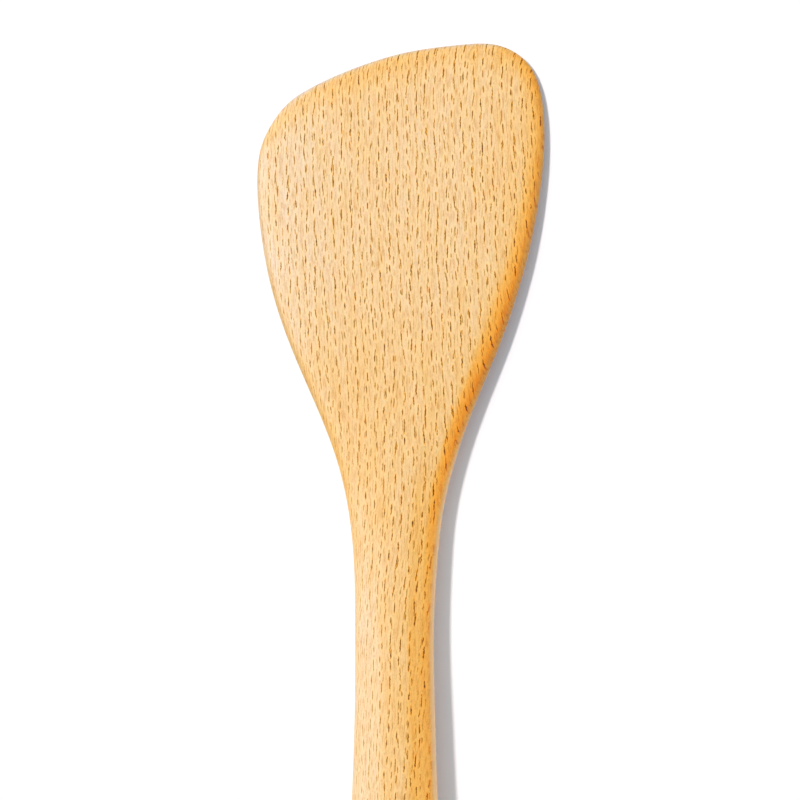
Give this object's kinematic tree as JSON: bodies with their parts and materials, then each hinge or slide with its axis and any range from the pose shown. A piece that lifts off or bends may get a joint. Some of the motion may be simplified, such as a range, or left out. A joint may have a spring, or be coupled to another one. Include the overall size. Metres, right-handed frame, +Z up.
{
  "type": "wooden sauce spoon",
  "caption": "Flat wooden spoon for stirring and scraping sauces: a blade with a tight corner and a sloping tip edge, on a long rounded handle.",
  "frame": {"origin": "middle of the bounding box at its lowest level, with the spoon lying on its flat back", "axes": "+Y from the butt of the handle to the tip of the blade, +Z up out of the face, +X towards the squared corner"},
  "size_m": [0.064, 0.305, 0.016],
  "materials": {
    "beech": "smooth sanded, lightly oiled"
  },
  "bodies": {
    "root": {"spoon": "beech"}
  },
  "joints": []
}
